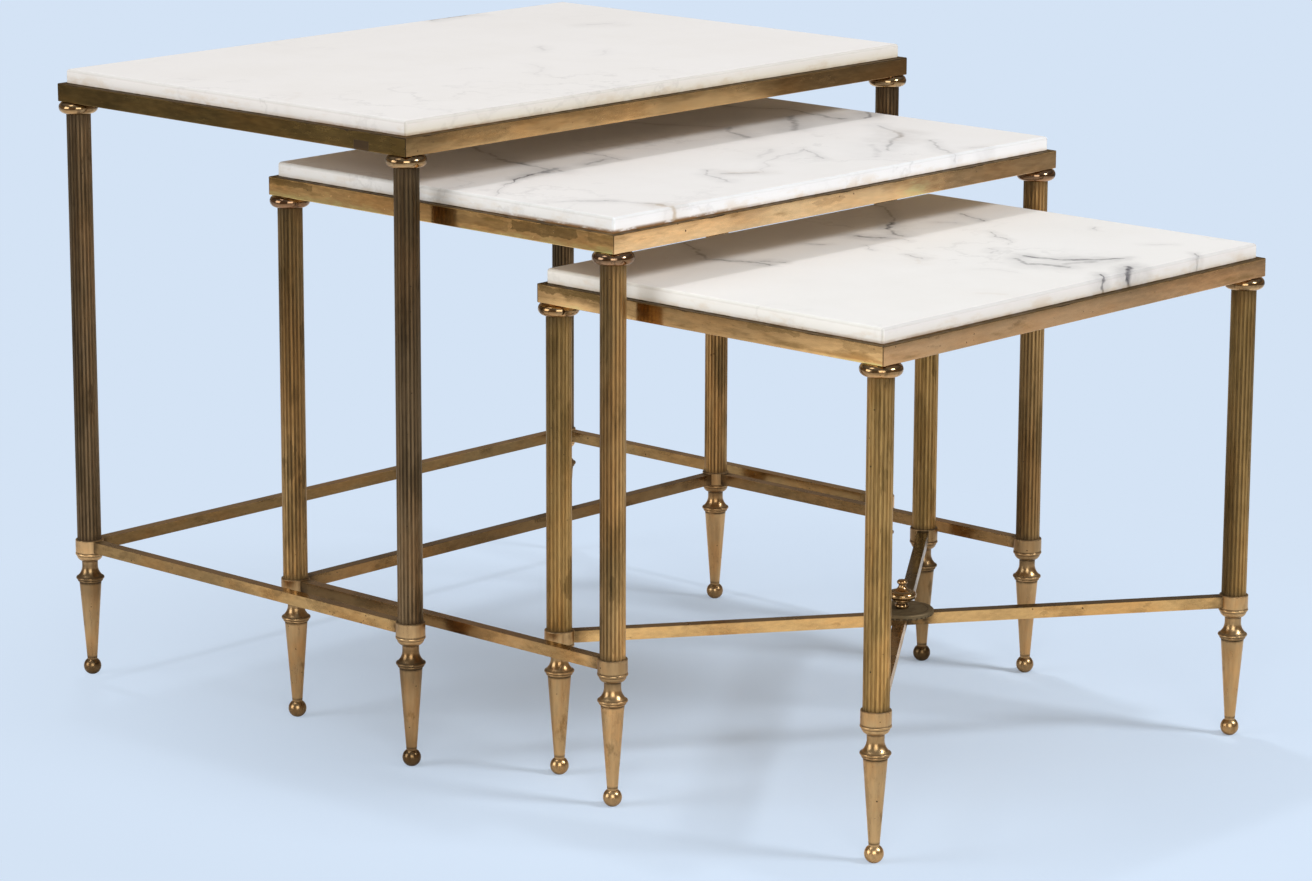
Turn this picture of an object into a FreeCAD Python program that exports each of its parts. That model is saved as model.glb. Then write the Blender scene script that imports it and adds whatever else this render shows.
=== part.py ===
import FreeCAD, Part
import math
import os

# A set of three nesting tables, in millimetres, +Z up.
# X runs along the long sides and the small tables are pulled out towards -Y.
# Each table is a white marble slab in a mitred frame of brass angle, on four reeded brass columns.

# ---- Large table ----
large_length = 508.0
large_depth = 346.0
large_height = 436.0

# ---- How the tables nest and how far they are pulled out ----
nest_side_gap = 4.8          # ring cap of the smaller table to column of the larger one, each end
nest_back_gap = 1.9          # back foot of the smaller table to back stretcher of the larger one
nest_front_setback = 11.0    # front of the smaller frame behind the front of the larger one
nest_top_gap = 24.4          # marble of the smaller table to frame of the larger one
middle_pull_out = 169.5      # from fully nested
small_pull_out = 209.5       # from fully nested

# ---- Frame of brass angle, and the marble in it ----
frame_height = 12.6
web_thickness = 4.0
flange_width = 20.0
flange_thickness = 2.6
marble_proud = 10.0
marble_gap = 0.5
marble_top_round = 2.0
marble_corner_round = 1.2
corner_plate_thickness = 2.0
corner_plate_size = 24.0
corner_plate_chamfer = 12.0

# ---- Leg ----
leg_inset = 10.0             # outer face of the frame to the axis of the leg
column_radius = 8.5
column_bore_radius = 6.0
flute_count = 20
flute_radius = 0.65
ring_cap_radius = 13.7
ring_cap_height = 8.0
collar_radius = 9.9
collar_height = 9.5
collar_round = 0.8
spigot_length = 6.0
tie_rod_radius = 3.0
tie_rod_in_foot = 16.0

# ---- Turned foot, from the collar down ----
foot_height = 90.0
rim_radius = 10.1
rim_height = 2.2
bowl_radius = 9.2
bowl_height = 4.1
bowl_swell = 0.9             # outward curve of the bowl's side
neck_radius = 5.6
neck_height = 3.0
bell_radius = 9.1
bell_height = 8.5
bell_hollow = 1.05           # inward curve of the bell's side
upper_bead_radius = 10.0
upper_bead_height = 2.0
lower_bead_radius = 8.9
lower_bead_height = 1.7
groove_radius = 7.3
groove_height = 0.7
spike_top_radius = 7.8
spike_end_radius = 3.5
ball_radius = 6.25
sole_radius = 2.5

# ---- Stretchers ----
bar_width = 8.0
bar_height = 8.0
tenon_radius = 2.0
tenon_length = 4.0
disc_radius = 21.5
disc_thickness = 3.0
disc_edge = 0.8

# ---- Finial on the crossing of the small table ----
stud_radius = 2.5
base_bead_radius = 4.8
base_bead_height = 3.4
waist_radius = 3.4
waist_height = 1.6
lip_radius = 6.5
lip_height = 1.6
main_bead_radius = 9.7
main_bead_height = 5.2
shoulder_height = 0.8
bell_foot_radius = 5.2
bell_neck_radius = 2.3
finial_bell_height = 4.1
finial_bell_hollow = 0.8
button_radius = 3.6
button_height = 2.9
button_flat_radius = 1.8
button_swell = 0.4

# ---- Clearances ----
fit_gap = 0.05               # brazed, threaded and lapped joints
rod_gap = 0.2                # tie rod in the pieces it only passes through
spigot_gap = 0.1             # ring cap and collar spigots in the column
plate_gap = 0.3              # corner plate to the web of the frame
blind_gap = 0.5              # beyond the end of a rod or tenon in its blind hole
cut_over = 1.0               # how far a drill runs past the faces it goes through

# ---- Sizes that follow from the ones above ----
side_step = 2 * (column_radius + ring_cap_radius + nest_side_gap)
back_step = bar_width / 2 + nest_back_gap + rim_radius
depth_step = back_step + nest_front_setback
height_step = marble_proud + frame_height + nest_top_gap
nested_offset = back_step - depth_step / 2
middle_shift = nested_offset + middle_pull_out
small_shift = middle_shift + nested_offset + small_pull_out
small_depth = large_depth - 2 * depth_step
large_centre_y = (small_shift + small_depth / 2 - large_depth / 2) / 2

collar_base = foot_height
collar_top = collar_base + collar_height
bar_level = collar_base + collar_height / 2
UP = FreeCAD.Vector(0, 0, 1)


def vec(x, y, z=0.0):
    return FreeCAD.Vector(x, y, z)


def cylinder(radius, low, high, x=0.0, y=0.0):
    return Part.makeCylinder(radius, high - low, vec(x, y, low))


def turned(points):
    """Solid of revolution about Z. Each point is (radius, level) or (radius, level, bulge).

    The bulge is the height of a circular arc over the chord from the point before,
    positive away from the axis.
    """
    edges = []
    for start, end in zip(points, points[1:]):
        a = vec(start[0], 0, start[1])
        b = vec(end[0], 0, end[1])
        if len(end) == 2:
            edges.append(Part.LineSegment(a, b).toShape())
            continue
        chord = b - a
        side = vec(chord.z, 0, -chord.x).normalize()
        middle = (a + b) * 0.5 + side * end[2]
        edges.append(Part.Arc(a, middle, b).toShape())
    first = vec(points[0][0], 0, points[0][1])
    last = vec(points[-1][0], 0, points[-1][1])
    edges.append(Part.LineSegment(last, first).toShape())
    face = Part.Face(Part.Wire(edges))
    return face.revolve(vec(0, 0, 0), UP, 360)


def group(solids):
    return Part.makeCompound(solids)


def moved(shape, x, y, z=0.0):
    copy = shape.copy()
    copy.translate(vec(x, y, z))
    return copy


class Table:
    """The sizes and levels of one table of the set."""

    def __init__(self, step, shift):
        self.length = large_length - step * side_step
        self.depth = large_depth - step * depth_step
        self.top = large_height - step * height_step
        self.centre_y = large_centre_y - shift
        self.frame_top = self.top - marble_proud
        self.frame_base = self.frame_top - frame_height
        self.flange_top = self.frame_base + flange_thickness
        self.plate_top = self.flange_top + corner_plate_thickness
        self.column_top = self.frame_base - ring_cap_height
        self.leg_x = self.length / 2 - leg_inset
        self.leg_y = self.depth / 2 - leg_inset

    def legs(self):
        """Name, side sign, front-to-back sign and axis of each leg."""
        for end, fy in (("front", -1), ("back", 1)):
            for side, fx in (("left", -1), ("right", 1)):
                yield end + "_" + side, fx, fy, fx * self.leg_x, self.centre_y + fy * self.leg_y


# ---- Marble ----

def marble_slab(table):
    inset = web_thickness + marble_gap
    length = table.length - 2 * inset
    depth = table.depth - 2 * inset
    corner = vec(-length / 2, table.centre_y - depth / 2, table.plate_top)
    slab = Part.makeBox(length, depth, table.top - table.plate_top, corner)
    upright = [e for e in slab.Edges if abs(e.tangentAt(e.FirstParameter).z) > 0.5]
    slab = slab.makeFillet(marble_corner_round, upright)
    upper = [e for e in slab.Edges if e.BoundBox.ZMin > table.top - 0.01]
    return slab.makeFillet(marble_top_round, upper)


# ---- Frame ----

def mitred_strip(half_run, half_across, near, far, low, high):
    """Strip with 45 degree ends on the -Y side, from near to far inside the outer face."""
    corners = [
        vec(-half_run + near, -half_across + near, low),
        vec(half_run - near, -half_across + near, low),
        vec(half_run - far, -half_across + far, low),
        vec(-half_run + far, -half_across + far, low),
    ]
    outline = Part.makePolygon(corners + corners[:1])
    return Part.Face(outline).extrude(vec(0, 0, high - low))


def rail(table, quarter_turns):
    """One length of brass angle, mitred at both ends and drilled for the tie rods."""
    half_run = table.length / 2
    half_across = table.depth / 2
    if quarter_turns % 2:
        half_run, half_across = half_across, half_run
    web = mitred_strip(half_run, half_across, 0, web_thickness, table.frame_base, table.frame_top)
    flange = mitred_strip(
        half_run, half_across, web_thickness, flange_width, table.frame_base, table.flange_top
    )
    angle = web.fuse(flange).removeSplitter()
    angle.rotate(vec(0, 0, 0), UP, 90 * quarter_turns)
    angle.translate(vec(0, table.centre_y, 0))
    for _, _, _, x, y in table.legs():
        low = table.frame_base - cut_over
        high = table.flange_top + cut_over
        angle = angle.cut(cylinder(tie_rod_radius + rod_gap, low, high, x, y))
    return angle.Solids[0]


def corner_plates(table):
    """Four tapped plates on the flanges, one in each corner, that the tie rods screw into."""
    plates = []
    for _, fx, fy, x, y in table.legs():
        outer_x = fx * (table.length / 2 - web_thickness - plate_gap)
        outer_y = table.centre_y + fy * (table.depth / 2 - web_thickness - plate_gap)
        inner_x = outer_x - fx * corner_plate_size
        inner_y = outer_y - fy * corner_plate_size
        corners = [
            vec(outer_x, outer_y, table.flange_top),
            vec(inner_x, outer_y, table.flange_top),
            vec(inner_x, outer_y - fy * (corner_plate_size - corner_plate_chamfer), table.flange_top),
            vec(outer_x - fx * (corner_plate_size - corner_plate_chamfer), inner_y, table.flange_top),
            vec(outer_x, inner_y, table.flange_top),
        ]
        outline = Part.makePolygon(corners + corners[:1])
        plate = Part.Face(outline).extrude(vec(0, 0, corner_plate_thickness))
        low = table.flange_top - cut_over
        high = table.plate_top + cut_over
        plates.append(plate.cut(cylinder(tie_rod_radius + fit_gap, low, high, x, y)).Solids[0])
    return group(plates)


# ---- Leg ----

def ring_cap():
    """Turned ring with a spigot that centres it in the top of the column."""
    middle = ring_cap_height / 2
    rim = ring_cap_radius - middle
    spigot = column_bore_radius - spigot_gap
    bore = tie_rod_radius + rod_gap
    return turned([
        (bore, -spigot_length),
        (spigot, -spigot_length),
        (spigot, 0),
        (rim, 0),
        (rim, ring_cap_height, middle),
        (bore, ring_cap_height),
    ])


def column(height):
    """Reeded tube: round-bottomed flutes cut side by side into a plain tube."""
    edges = []
    half_flute = 2 * math.asin(flute_radius / (2 * column_radius))
    pitch = 2 * math.pi / flute_count
    floor_radius = column_radius - flute_radius
    for i in range(flute_count):
        middle = i * pitch
        start = middle - half_flute
        end = middle + half_flute
        crest = middle + pitch / 2
        following = middle + pitch - half_flute
        at = [vec(column_radius * math.cos(t), column_radius * math.sin(t))
              for t in (start, end, crest, following)]
        floor = vec(floor_radius * math.cos(middle), floor_radius * math.sin(middle))
        edges.append(Part.Arc(at[0], floor, at[1]).toShape())
        edges.append(Part.Arc(at[1], at[2], at[3]).toShape())
    bore = Part.Wire(Part.makeCircle(column_bore_radius))
    section = Part.Face([Part.Wire(edges), bore])
    return section.extrude(vec(0, 0, height))


def collar(stretcher_angles):
    """Plain collar between column and foot, with a socket for each stretcher's tenon."""
    spigot = column_bore_radius - spigot_gap
    bore = tie_rod_radius + rod_gap
    arc_bulge = collar_round * (1 - math.sqrt(0.5))
    body = turned([
        (bore, 0),
        (collar_radius, 0),
        (collar_radius, collar_height - collar_round),
        (collar_radius - collar_round, collar_height, arc_bulge),
        (spigot, collar_height),
        (spigot, collar_height + spigot_length),
        (bore, collar_height + spigot_length),
    ])
    depth = tenon_length + blind_gap
    for angle in stretcher_angles:
        out = vec(math.cos(angle), math.sin(angle))
        start = out * (collar_radius - depth) + vec(0, 0, collar_height / 2)
        body = body.cut(Part.makeCylinder(tenon_radius + fit_gap, 2 * depth, start, out))
    return body.Solids[0]


def foot():
    """Turned foot: rim, bowl, neck, bell, two beads, long spike and ball, with a flat sole."""
    rim_low = foot_height - rim_height
    bowl_low = rim_low - bowl_height
    neck_low = bowl_low - neck_height
    bell_low = neck_low - bell_height
    upper_bead_low = bell_low - upper_bead_height
    lower_bead_low = upper_bead_low - lower_bead_height
    spike_top = lower_bead_low - groove_height
    ball_centre = math.sqrt(ball_radius ** 2 - sole_radius ** 2)
    spike_end = ball_centre + math.sqrt(ball_radius ** 2 - spike_end_radius ** 2)
    half_chord = math.hypot(spike_end_radius - sole_radius, spike_end) / 2
    ball_bulge = ball_radius - math.sqrt(ball_radius ** 2 - half_chord ** 2)
    rod_hole = tie_rod_radius + fit_gap
    upper_bead_inner = upper_bead_radius - upper_bead_height / 2
    lower_bead_inner = lower_bead_radius - lower_bead_height / 2
    rim_inner = rim_radius - rim_height / 2
    hole_low = foot_height - tie_rod_in_foot - blind_gap
    return turned([
        (0, 0),
        (sole_radius, 0),
        (spike_end_radius, spike_end, ball_bulge),
        (spike_top_radius, spike_top),
        (groove_radius, spike_top),
        (groove_radius, lower_bead_low),
        (lower_bead_inner, lower_bead_low),
        (lower_bead_inner, upper_bead_low, lower_bead_height / 2),
        (upper_bead_inner, upper_bead_low),
        (upper_bead_inner, bell_low, upper_bead_height / 2),
        (bell_radius, bell_low),
        (neck_radius, neck_low, -bell_hollow),
        (neck_radius, bowl_low),
        (bowl_radius, rim_low, bowl_swell),
        (rim_inner, rim_low),
        (rim_inner, foot_height, rim_height / 2),
        (rod_hole, foot_height),
        (rod_hole, hole_low),
        (0, hole_low),
    ])


def tie_rods(table):
    low = foot_height - tie_rod_in_foot
    return group([cylinder(tie_rod_radius, low, table.plate_top, x, y)
                  for _, _, _, x, y in table.legs()])


# ---- Stretchers ----

def bar_between(start, end):
    """Square bar between two legs, scribed to their collars, with a round tenon at each end."""
    run = end - start
    along = vec(run.x, run.y).normalize()
    body = Part.makeBox(run.Length, bar_width, bar_height, vec(0, -bar_width / 2, -bar_height / 2))
    body.rotate(vec(0, 0, 0), UP, math.degrees(math.atan2(run.y, run.x)))
    body.translate(start)
    seat = collar_radius + fit_gap
    for axis, way in ((start, along), (end, along * -1)):
        body = body.cut(cylinder(seat, axis.z - bar_height, axis.z + bar_height, axis.x, axis.y))
        body = body.Solids[0]
        tenon_start = axis + way * (collar_radius - tenon_length)
        body = body.fuse(Part.makeCylinder(tenon_radius, 2 * tenon_length, tenon_start, way))
    return body.removeSplitter().Solids[0]


def leg_axes(table):
    return {name: vec(x, y, bar_level) for name, _, _, x, y in table.legs()}


def side_and_back_stretchers(table):
    axis = leg_axes(table)
    return {
        "left_stretcher": bar_between(axis["front_left"], axis["back_left"]),
        "right_stretcher": bar_between(axis["front_right"], axis["back_right"]),
        "back_stretcher": bar_between(axis["back_left"], axis["back_right"]),
    }


def side_and_back_sockets(fx, fy):
    """Directions of the stretchers that a leg's collar holds on the two larger tables."""
    angles = [-fy * math.pi / 2]
    if fy > 0:
        angles.append(0 if fx < 0 else math.pi)
    return angles


def lap(bar, other_start, other_end, low, high):
    """Cuts the seat of the crossing bar into a bar, between two levels."""
    run = other_end - other_start
    width = bar_width + 2 * fit_gap
    seat = Part.makeBox(run.Length, width, high - low, vec(0, -width / 2, low))
    seat.rotate(vec(0, 0, 0), UP, math.degrees(math.atan2(run.y, run.x)))
    seat.translate(vec(other_start.x, other_start.y))
    return bar.cut(seat).Solids[0]


def cross_bars(table):
    """Two bars from corner to corner, halved over each other and drilled for the finial."""
    axis = leg_axes(table)
    one = bar_between(axis["front_left"], axis["back_right"])
    other = bar_between(axis["front_right"], axis["back_left"])
    above = bar_level + bar_height
    below = bar_level - bar_height
    one = lap(one, axis["front_right"], axis["back_left"], bar_level - fit_gap / 2, above)
    other = lap(other, axis["front_left"], axis["back_right"], below, bar_level + fit_gap / 2)
    hole = cylinder(stud_radius + fit_gap, below, above, 0, table.centre_y)
    return group([one.cut(hole).Solids[0], other.cut(hole).Solids[0]])


def crossing_disc(table):
    base = bar_level + bar_height / 2
    disc = turned([
        (stud_radius + fit_gap, 0),
        (disc_radius, 0),
        (disc_radius, disc_thickness - disc_edge),
        (disc_radius - disc_edge, disc_thickness),
        (stud_radius + fit_gap, disc_thickness),
    ])
    return moved(disc, 0, table.centre_y, base)


def finial(table):
    """Turned finial with the stud that passes through the disc and the crossing."""
    base = bar_level + bar_height / 2 + disc_thickness
    base_inner = base_bead_radius - base_bead_height / 2
    lip_inner = lip_radius - lip_height / 2
    main_inner = main_bead_radius - main_bead_height / 2
    lip_low = base_bead_height + waist_height
    main_low = lip_low + lip_height
    main_top = main_low + main_bead_height
    bell_low = main_top + shoulder_height
    button_low = bell_low + finial_bell_height
    button_top = button_low + button_height
    knob = turned([
        (0, -disc_thickness - bar_height),
        (stud_radius, -disc_thickness - bar_height),
        (stud_radius, 0),
        (base_inner, 0),
        (base_inner, base_bead_height, base_bead_height / 2),
        (waist_radius, base_bead_height),
        (waist_radius, lip_low),
        (lip_inner, lip_low),
        (lip_inner, main_low, lip_height / 2),
        (main_inner, main_low),
        (main_inner, main_top, main_bead_height / 2),
        (bell_foot_radius, bell_low),
        (bell_neck_radius, button_low, -finial_bell_hollow),
        (button_radius, button_low + button_height / 2, button_swell),
        (button_flat_radius, button_top, button_swell),
        (0, button_top),
    ])
    return moved(knob, 0, table.centre_y, base)


# ---- Tables ----

def build_table(name, table, sockets):
    """All the pieces that the three tables have in common, by node name."""
    pieces = {
        name + "_marble_top": marble_slab(table),
        name + "_front_rail": rail(table, 0),
        name + "_right_rail": rail(table, 1),
        name + "_back_rail": rail(table, 2),
        name + "_left_rail": rail(table, 3),
        name + "_corner_plates": corner_plates(table),
        name + "_tie_rods": tie_rods(table),
    }
    caps = []
    collars = []
    one_foot = foot()
    one_cap = ring_cap()
    one_column = column(table.column_top - collar_top)
    for leg, fx, fy, x, y in table.legs():
        caps.append(moved(one_cap, x, y, table.column_top))
        collars.append(moved(collar(sockets(fx, fy)), x, y, collar_base))
        pieces[name + "_column_" + leg] = moved(one_column, x, y, collar_top)
        pieces[name + "_foot_" + leg] = moved(one_foot, x, y)
    pieces[name + "_ring_caps"] = group(caps)
    pieces[name + "_collars"] = group(collars)
    return pieces


def build():
    large = Table(0, 0)
    middle = Table(1, middle_shift)
    small = Table(2, small_shift)

    def diagonal_sockets(fx, fy):
        return [math.atan2(-fy * small.leg_y, -fx * small.leg_x)]

    pieces = {}
    for name, table in (("large", large), ("middle", middle)):
        pieces.update(build_table(name, table, side_and_back_sockets))
        for part, shape in side_and_back_stretchers(table).items():
            pieces[name + "_" + part] = shape
    pieces.update(build_table("small", small, diagonal_sockets))
    pieces["small_cross_bars"] = cross_bars(small)
    pieces["small_crossing_disc"] = crossing_disc(small)
    pieces["small_finial"] = finial(small)
    return pieces


os.makedirs("parts", exist_ok=True)
for node, shape in build().items():
    shape.exportStep("parts/" + node + ".step")
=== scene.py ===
"""Looks of a set of three brass and marble nesting tables, in metres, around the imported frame."""

import math

import bpy
from mathutils import Matrix, Vector


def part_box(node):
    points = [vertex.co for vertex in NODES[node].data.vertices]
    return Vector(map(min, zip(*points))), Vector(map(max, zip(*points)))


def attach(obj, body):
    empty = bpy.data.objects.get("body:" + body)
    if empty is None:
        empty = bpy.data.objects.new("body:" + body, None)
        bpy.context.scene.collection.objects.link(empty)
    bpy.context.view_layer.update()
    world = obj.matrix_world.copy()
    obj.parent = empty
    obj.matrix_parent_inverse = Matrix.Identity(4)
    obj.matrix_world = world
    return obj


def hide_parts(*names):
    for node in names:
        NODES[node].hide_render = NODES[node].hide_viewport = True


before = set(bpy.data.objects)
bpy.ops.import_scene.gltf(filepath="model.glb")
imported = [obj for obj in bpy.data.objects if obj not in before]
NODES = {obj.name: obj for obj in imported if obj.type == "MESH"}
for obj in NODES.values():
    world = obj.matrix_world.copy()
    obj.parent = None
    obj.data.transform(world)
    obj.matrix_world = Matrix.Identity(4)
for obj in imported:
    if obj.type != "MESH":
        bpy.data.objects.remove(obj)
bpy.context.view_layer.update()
SCENE = bpy.context.scene

MM = 0.001
X, Y, Z = 0, 1, 2
FLAT = (1.0, 1.0, 0.0)
TABLES = ("large", "middle", "small")
CORNERS = ("front_left", "front_right", "back_left", "back_right")


# ---- Places on the tables, read from the frame ----

def leg_axes(table):
    """Centre of the four leg axes of a table, and half the distances between them."""
    low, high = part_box(table + "_column_front_left")
    near = [(a + b) / 2 for a, b in zip(low, high)]
    far_low, far_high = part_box(table + "_column_back_right")
    far = [(a + b) / 2 for a, b in zip(far_low, far_high)]
    centre = ((near[X] + far[X]) / 2, (near[Y] + far[Y]) / 2, 0.0)
    spans = ((far[X] - near[X]) / 2, (far[Y] - near[Y]) / 2, 0.0)
    return centre, spans


LEG_AXES = {table: leg_axes(table) for table in TABLES}
NEAR_LEG = {table: (axis[X] - half[X], axis[Y] - half[Y]) for table, (axis, half) in LEG_AXES.items()}
TOP_Z = {table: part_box(table + "_marble_top")[1][Z] for table in TABLES}
LIP_Z = {table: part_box(table + "_front_rail")[1][Z] for table in TABLES}
COLUMN_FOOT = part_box("large_column_front_left")[0][Z]
BAR_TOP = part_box("large_left_stretcher")[1][Z]
DISC_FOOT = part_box("small_crossing_disc")[0][Z]


# ---- Camera ----

def set_camera():
    """A long lens from the front left, a little above the tables."""
    place = Vector((-2.2607, -2.0527, 0.8908))
    heading = math.radians(42.496)
    pitch = math.radians(13.029)
    roll = math.radians(0.206)
    forward = Vector((
        math.cos(heading) * math.cos(pitch),
        math.sin(heading) * math.cos(pitch),
        -math.sin(pitch),
    ))
    level = Vector((math.sin(heading), -math.cos(heading), 0))
    up = level.cross(forward)
    right = level * math.cos(roll) + up * math.sin(roll)
    up = right.cross(forward)
    data = bpy.data.cameras.new("camera")
    data.sensor_fit = "HORIZONTAL"
    data.sensor_width = 36.0
    data.lens = 123.49756
    data.clip_end = 100.0
    camera = bpy.data.objects.new("camera", data)
    turn = Matrix((right, up, -forward)).transposed()
    camera.matrix_world = Matrix.Translation(place) @ turn.to_4x4()
    SCENE.collection.objects.link(camera)
    SCENE.camera = camera


# ---- Node trees ----

class Graph:
    """Adds nodes to one node tree and joins them up."""

    def __init__(self, tree):
        self.tree = tree

    def join(self, value, socket):
        if isinstance(value, bpy.types.NodeSocket):
            self.tree.links.new(value, socket)
        else:
            socket.default_value = value

    def add(self, kind, values=None, **settings):
        node = self.tree.nodes.new(kind)
        for setting, value in settings.items():
            setattr(node, setting, value)
        for socket, value in (values or {}).items():
            self.join(value, node.inputs[socket])
        return node

    def math(self, operation, *values, clamp=False):
        node = self.add("ShaderNodeMath", operation=operation, use_clamp=clamp)
        for value, socket in zip(values, node.inputs):
            self.join(value, socket)
        return node.outputs[0]

    def times(self, first, *others):
        """The product of its values."""
        for other in others:
            first = self.math("MULTIPLY", first, other)
        return first

    def between(self, amount, first, second):
        """From a first to a second plain number, as amount goes from 0 to 1."""
        return self.math("MULTIPLY_ADD", amount, second - first, first)

    def slide(self, amount, first, second):
        """The same, for numbers that differ from place to place."""
        return self.math("MULTIPLY_ADD", self.math("SUBTRACT", second, first), amount, first)

    def away(self, value, middle):
        """How far a value is from a middle one, on either side."""
        return self.math("ABSOLUTE", self.math("SUBTRACT", value, middle))

    def vector(self, operation, *values):
        node = self.add("ShaderNodeVectorMath", operation=operation)
        for value, socket in zip(values, node.inputs):
            self.join(value, socket)
        return node.outputs["Value" if operation in ("LENGTH", "DOT_PRODUCT") else "Vector"]

    def scaled(self, vector, factor):
        return self.add("ShaderNodeVectorMath", {0: vector, "Scale": factor}, operation="SCALE").outputs[0]

    def seen_length(self, vector):
        """Length of a vector as seen from above."""
        return self.vector("LENGTH", self.vector("MULTIPLY", vector, FLAT))

    def blend(self, amount, first, second, kind="MIX"):
        node = self.add("ShaderNodeMix", data_type="RGBA", blend_type=kind)
        self.join(amount, node.inputs[0])
        self.join(first, node.inputs[6])
        self.join(second, node.inputs[7])
        return node.outputs[2]

    def tinted(self, amount, tone, tint):
        """A tone multiplied by a tint, by amount."""
        return self.blend(amount, tone, self.blend(1.0, tone, tint, "MULTIPLY"))

    def step(self, value, start, end):
        """0 at start, 1 at end, smooth between them."""
        values = {"Value": value, "From Min": start, "From Max": end}
        return self.add("ShaderNodeMapRange", values, interpolation_type="SMOOTHSTEP").outputs["Result"]

    def ramp(self, value, stops):
        """A colour that changes with value: pairs of a place from 0 to 1 and a colour."""
        node = self.add("ShaderNodeValToRGB", {"Fac": value})
        line = node.color_ramp
        line.elements[0].position = stops[0][0]
        line.elements[1].position = stops[-1][0]
        for position, _ in stops[1:-1]:
            line.elements.new(position)
        for element, (_, tone) in zip(line.elements, stops):
            element.color = tone
        return node.outputs["Color"]

    def place(self):
        return self.add("ShaderNodeTexCoord").outputs["Object"]

    def split(self, vector):
        return self.add("ShaderNodeSeparateXYZ", {"Vector": vector}).outputs

    def height(self):
        return self.split(self.place())["Z"]

    def level(self, base, start, end):
        """A step upwards or downwards, from start to end in mm above a base level in metres."""
        return self.step(self.height(), base + start * MM, base + end * MM)

    def use(self, group, **values):
        node = self.add("ShaderNodeGroup", node_tree=group)
        for name, value in values.items():
            self.join(value, node.inputs[name.replace("_", " ")])
        return node.outputs

    def cloud(self, stretch, low=0.4, high=0.6, seed=0.0, detail=5.0, kind="Mask"):
        """Cloudy patches, about stretch of them to a metre: 0 below low, 1 above high."""
        if not isinstance(stretch, tuple):
            stretch = (stretch, stretch, stretch)
        return self.use(CLOUD, Stretch=stretch, Low=low, High=high, Seed=seed, Detail=detail)[kind]


def new_group(name, inputs, outputs):
    """A shader node group; inputs maps a name to its first value, outputs is a list of names."""
    tree = bpy.data.node_groups.new(name, "ShaderNodeTree")
    for label, value in inputs.items():
        kind = "NodeSocketVector" if isinstance(value, tuple) else "NodeSocketFloat"
        socket = tree.interface.new_socket(label, in_out="INPUT", socket_type=kind)
        socket.default_value = value
    for label in outputs:
        tree.interface.new_socket(label, in_out="OUTPUT", socket_type="NodeSocketFloat")
    graph = Graph(tree)
    given = graph.add("NodeGroupInput").outputs
    result = graph.add("NodeGroupOutput").inputs
    return graph, given, result


def cloud_group():
    """Cloudy patches: 0 below Low, 1 above High; Raw is the noise behind them."""
    graph, given, result = new_group("cloud", {
        "Stretch": (1.0, 1.0, 1.0),
        "Seed": 0.0,
        "Low": 0.4,
        "High": 0.6,
        "Detail": 5.0,
    }, ["Mask", "Raw"])
    noise = graph.add("ShaderNodeTexNoise", {
        "Vector": graph.vector("MULTIPLY", graph.place(), given["Stretch"]),
        "W": given["Seed"],
        "Scale": 1.0,
        "Detail": given["Detail"],
        "Roughness": 0.6,
    }, noise_dimensions="4D")
    raw = noise.outputs["Fac"]
    graph.join(graph.step(raw, given["Low"], given["High"]), result["Mask"])
    graph.join(raw, result["Raw"])
    return graph.tree


def pit_group():
    """Small ragged pits, up to Size of a cell across, in a Share of the cells."""
    graph, given, result = new_group("pits", {
        "Cells": 420.0,
        "Size": 0.34,
        "Share": 0.1,
    }, ["Mask"])
    ragged = graph.add("ShaderNodeTexNoise", {"Vector": graph.place(), "Scale": 900.0, "Detail": 2.0})
    shift = graph.scaled(ragged.outputs["Color"], 1.2 * MM)
    cells = graph.add("ShaderNodeTexVoronoi", {
        "Vector": graph.vector("ADD", graph.place(), shift),
        "Scale": given["Cells"],
    })
    chance = graph.split(cells.outputs["Color"])
    picked = graph.math("LESS_THAN", chance["X"], given["Share"])
    size = graph.times(given["Size"], graph.between(chance["Y"], 0.2, 1.0))
    dot = graph.step(cells.outputs["Distance"], size, graph.times(size, 0.5))
    graph.join(graph.times(dot, picked), result["Mask"])
    return graph.tree


def stroke_group():
    """A line from Start to End, as seen from above: a thin core in a soft halo."""
    core_width, halo_width = 0.34, 2.2
    core_share, halo_share = 0.70, 0.30
    graph, given, result = new_group("stroke", {
        "Point": (0.0, 0.0, 0.0),
        "Start": (0.0, 0.0, 0.0),
        "End": (1.0, 0.0, 0.0),
        "Width": 0.01,
        "Strength": 1.0,
    }, ["Mask"])
    along = graph.vector("SUBTRACT", given["End"], given["Start"])
    offset = graph.vector("SUBTRACT", given["Point"], given["Start"])
    reach = graph.math(
        "DIVIDE",
        graph.vector("DOT_PRODUCT", offset, along),
        graph.vector("DOT_PRODUCT", along, along),
        clamp=True,
    )
    distance = graph.vector("LENGTH", graph.vector("SUBTRACT", offset, graph.scaled(along, reach)))
    core = graph.step(distance, graph.times(given["Width"], core_width), 0.0)
    halo = graph.step(distance, graph.times(given["Width"], halo_width), 0.0)
    mask = graph.math("MULTIPLY_ADD", halo, halo_share, graph.times(core, core_share))
    graph.join(graph.times(mask, given["Strength"]), result["Mask"])
    return graph.tree


def leg_group():
    """Distance from the axis of the nearest leg, the four legs standing about Centre."""
    graph, given, result = new_group("leg", {
        "Centre": (0.0, 0.0, 0.0),
        "Half spans": (0.2, 0.1, 0.0),
    }, ["Radius"])
    place = graph.vector("SUBTRACT", graph.place(), given["Centre"])
    corner = graph.vector("SUBTRACT", graph.vector("ABSOLUTE", place), given["Half spans"])
    graph.join(graph.seen_length(corner), result["Radius"])
    return graph.tree


CLOUD = cloud_group()
PITS = pit_group()
STROKE = stroke_group()
LEG = leg_group()


# ---- Colours ----

def colour(red, green, blue):
    return (red, green, blue, 1.0)


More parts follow.
